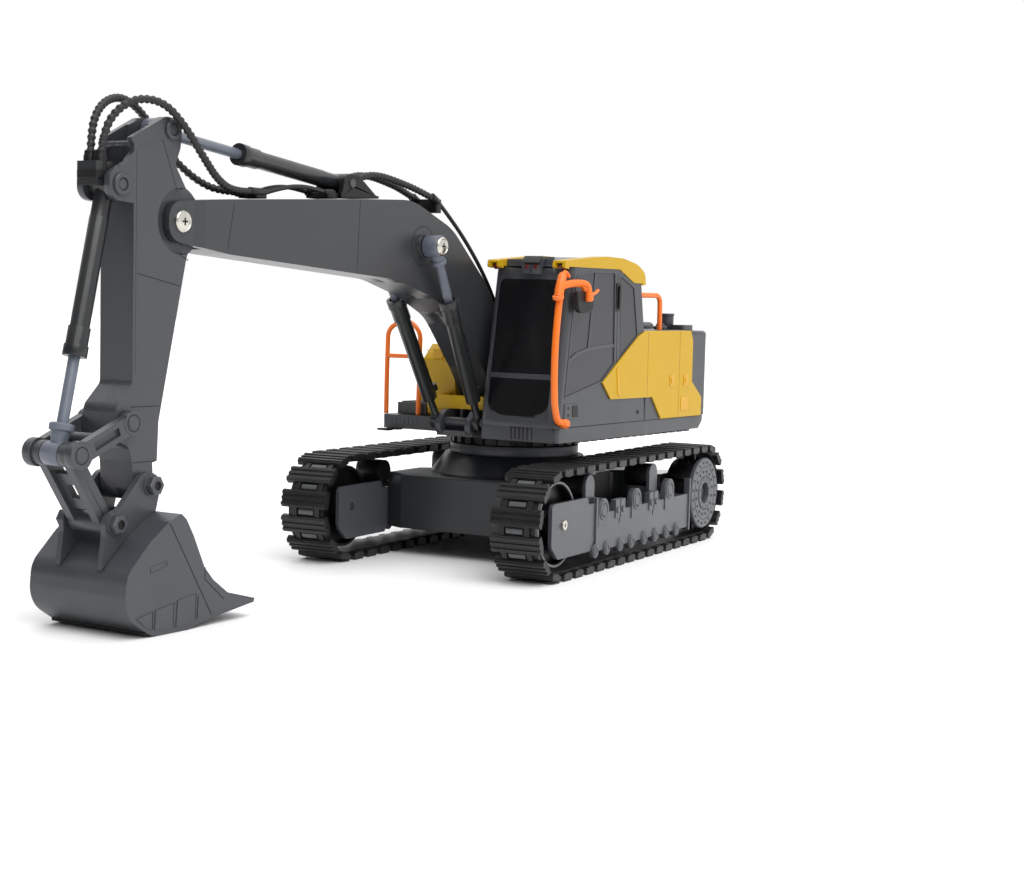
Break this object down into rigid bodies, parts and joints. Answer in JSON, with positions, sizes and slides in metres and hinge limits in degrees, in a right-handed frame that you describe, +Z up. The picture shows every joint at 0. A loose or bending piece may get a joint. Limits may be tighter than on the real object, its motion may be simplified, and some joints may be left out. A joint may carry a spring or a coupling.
{
  "type": "toy excavator",
  "caption": "Crawler excavator toy with a turning upper body, a cab, a lifting boom, a swinging arm and a curling bucket moved by cylinders.",
  "frame": {"origin": "Centre of the overall box on the floor, with the bucket resting on the same floor as the tracks.", "axes": "+X forward towards the arm and bucket, +Y to the machine's left where the cab is, +Z up. The undercarriage stands turned 5 degrees to the left under the upper body."},
  "size_m": [0.5196, 0.1828, 0.2349],
  "materials": {
    "slate_plastic": "satin moulded slate-grey plastic",
    "frame_grey": "satin moulded grey plastic",
    "bucket_grey": "smooth moulded grey plastic",
    "black_plastic": "satin black plastic",
    "yellow_plastic": "glossy yellow plastic",
    "orange_rail": "glossy orange plastic",
    "tinted_window": "glossy black tinted plastic",
    "rod_plastic": "smooth blue-grey plastic rods",
    "hose_rubber": "soft black hose",
    "screw_steel": "nickel-plated steel",
    "track_rubber": "soft black track pads",
    "battery_metal": "wrapped cells",
    "motor_steel": "motor can"
  },
  "bodies": {
    "undercarriage": {"car_body": "frame_grey", "belly_cover": "black_plastic", "battery_pack": "battery_metal", "slew_ring_lower": "frame_grey", "idler_axles": "screw_steel", "track_frames": "frame_grey", "side_plates": "frame_grey", "idler_yokes": "frame_grey", "track_gearboxes": "motor_steel", "carrier_rollers": "black_plastic", "track_belt_left": "track_rubber", "track_belt_right": "track_rubber"},
    "switch": {"power_switch": "black_plastic"},
    "sprocket_left": {"drive_sprocket_left": "black_plastic", "sprocket_cover_left": "black_plastic"},
    "sprocket_right": {"drive_sprocket_right": "black_plastic", "sprocket_cover_right": "black_plastic"},
    "idler_left": {"idler_wheel_left": "black_plastic"},
    "idler_right": {"idler_wheel_right": "black_plastic"},
    "upper": {"deck": "slate_plastic", "slew_ring_upper": "black_plastic", "foot_pins": "slate_plastic", "cab_shell": "slate_plastic", "windows": "tinted_window", "roof_panel": "slate_plastic", "roof_bands": "yellow_plastic", "sensor_box": "slate_plastic", "side_panels": "yellow_plastic", "engine_hood": "slate_plastic", "exhaust_stack": "slate_plastic", "counterweight": "slate_plastic", "tool_box": "yellow_plastic", "platform_covers": "slate_plastic", "handrails": "orange_rail", "mirror_head": "orange_rail", "swing_motor": "motor_steel", "circuit_board": "slate_plastic"},
    "boom": {"boom_casing_left": "slate_plastic", "boom_casing_right": "slate_plastic", "arm_cylinder_bracket": "black_plastic", "boom_pins": "slate_plastic", "arm_pivot_screws": "screw_steel", "boom_hoses": "hose_rubber", "hose_clips": "black_plastic"},
    "boom_barrels": {"boom_cylinder_barrels": "black_plastic"},
    "boom_rods": {"boom_cylinder_rods": "rod_plastic", "boom_cylinder_screws": "screw_steel"},
    "arm_barrel": {"arm_cylinder_barrel": "black_plastic"},
    "arm_rod": {"arm_cylinder_rod": "rod_plastic"},
    "arm": {"arm_casing_left": "slate_plastic", "arm_casing_right": "slate_plastic", "arm_ear_pins": "slate_plastic", "jumper_hoses": "hose_rubber"},
    "bucket_barrel": {"bucket_cylinder_barrel": "black_plastic"},
    "bucket_rod": {"bucket_cylinder_rod": "rod_plastic"},
    "rocker": {"rocker_levers": "slate_plastic", "rocker_pins": "slate_plastic"},
    "link": {"link_frame": "slate_plastic"},
    "bucket": {"bucket_shell": "bucket_grey", "bucket_bolts": "bucket_grey"}
  },
  "joints": [
    {"name": "swing", "type": "hinge", "parent": "undercarriage", "child": "upper", "pos_m": [-0.11, 0.00074, 0.064], "axis": [0, 0, 1], "continuous": true},
    {"name": "sprocket_left_spin", "type": "hinge", "parent": "undercarriage", "child": "sprocket_left", "pos_m": [-0.22533, 0.0569, 0.03], "axis": [-0.0872, 0.9962, 0], "continuous": true},
    {"name": "idler_left_spin", "type": "hinge", "parent": "undercarriage", "child": "idler_left", "pos_m": [-0.0236, 0.07455, 0.03], "axis": [-0.0872, 0.9962, 0], "continuous": true},
    {"name": "sprocket_right_spin", "type": "hinge", "parent": "undercarriage", "child": "sprocket_right", "pos_m": [-0.21383, -0.0746, 0.03], "axis": [-0.0872, 0.9962, 0], "continuous": true},
    {"name": "idler_right_spin", "type": "hinge", "parent": "undercarriage", "child": "idler_right", "pos_m": [-0.0121, -0.05695, 0.03], "axis": [-0.0872, 0.9962, 0], "continuous": true},
    {"name": "power_switch_slide", "type": "slide", "parent": "undercarriage", "child": "switch", "axis": [0.9962, 0.0872, 0], "range_m": [-0.002, 0.003]},
    {"name": "boom_lift", "type": "hinge", "parent": "upper", "child": "boom", "pos_m": [-0.085, 0.00074, 0.093], "axis": [0, -1, 0], "range_deg": [-20, 16]},
    {"name": "boom_barrel_pivot", "type": "hinge", "parent": "upper", "child": "boom_barrels", "pos_m": [-0.0496, 0.00074, 0.079], "axis": [0, -1, 0], "range_deg": [-22.28, 18.02]},
    {"name": "boom_rod_slide", "type": "slide", "parent": "boom_barrels", "child": "boom_rods", "axis": [0.4886, 0, 0.8725], "range_m": [-0.01334, 0.01077]},
    {"name": "arm_swing", "type": "hinge", "parent": "boom", "child": "arm", "pos_m": [0.1896, 0.00074, 0.1798], "axis": [0, -1, 0], "range_deg": [-23, 30], "deforming": ["jumper_hoses"]},
    {"name": "arm_barrel_pivot", "type": "hinge", "parent": "boom", "child": "arm_barrel", "pos_m": [0.0637, 0.00074, 0.205], "axis": [0, -1, 0], "range_deg": [-2.2, 2.56]},
    {"name": "arm_rod_slide", "type": "slide", "parent": "arm_barrel", "child": "arm_rod", "axis": [0.9938, 0, 0.1115], "range_m": [-0.02063, 0.01593]},
    {"name": "bucket_curl", "type": "hinge", "parent": "arm", "child": "bucket", "pos_m": [0.2111, 0.00074, 0.0635], "axis": [0, -1, 0], "range_deg": [-30, 45]},
    {"name": "rocker_pivot", "type": "hinge", "parent": "arm", "child": "rocker", "pos_m": [0.2233, 0.00074, 0.0914], "axis": [0, -1, 0], "range_deg": [-26.35, 39.02]},
    {"name": "link_pivot", "type": "hinge", "parent": "rocker", "child": "link", "pos_m": [0.2536, 0.00074, 0.0791], "axis": [0, -1, 0], "range_deg": [-32.55, 22.03]},
    {"name": "bucket_barrel_pivot", "type": "hinge", "parent": "arm", "child": "bucket_barrel", "pos_m": [0.2266, 0.00074, 0.1939], "axis": [0, -1, 0], "range_deg": [-4.51, 6.26]},
    {"name": "bucket_rod_slide", "type": "slide", "parent": "bucket_barrel", "child": "bucket_rod", "axis": [0.2289, 0, -0.9734], "range_m": [-0.01889, 0.01276]}
  ],
  "couplings": [
    {"joint": "idler_left_spin", "follows": "sprocket_left_spin", "ratio": 1.03},
    {"joint": "idler_right_spin", "follows": "sprocket_right_spin", "ratio": 1.03},
    {"joint": "boom_barrel_pivot", "follows": "boom_lift", "ratio": 1.064},
    {"joint": "boom_rod_slide", "follows": "boom_lift", "m_per_rad": 0.03678},
    {"joint": "arm_barrel_pivot", "follows": "arm_swing", "ratio": 0.052},
    {"joint": "arm_rod_slide", "follows": "arm_swing", "m_per_rad": -0.03844},
    {"joint": "rocker_pivot", "follows": "bucket_curl", "ratio": 0.845},
    {"joint": "link_pivot", "follows": "bucket_curl", "ratio": -0.701},
    {"joint": "bucket_barrel_pivot", "follows": "bucket_curl", "ratio": 0.117},
    {"joint": "bucket_rod_slide", "follows": "bucket_curl", "m_per_rad": -0.02342}
  ]
}
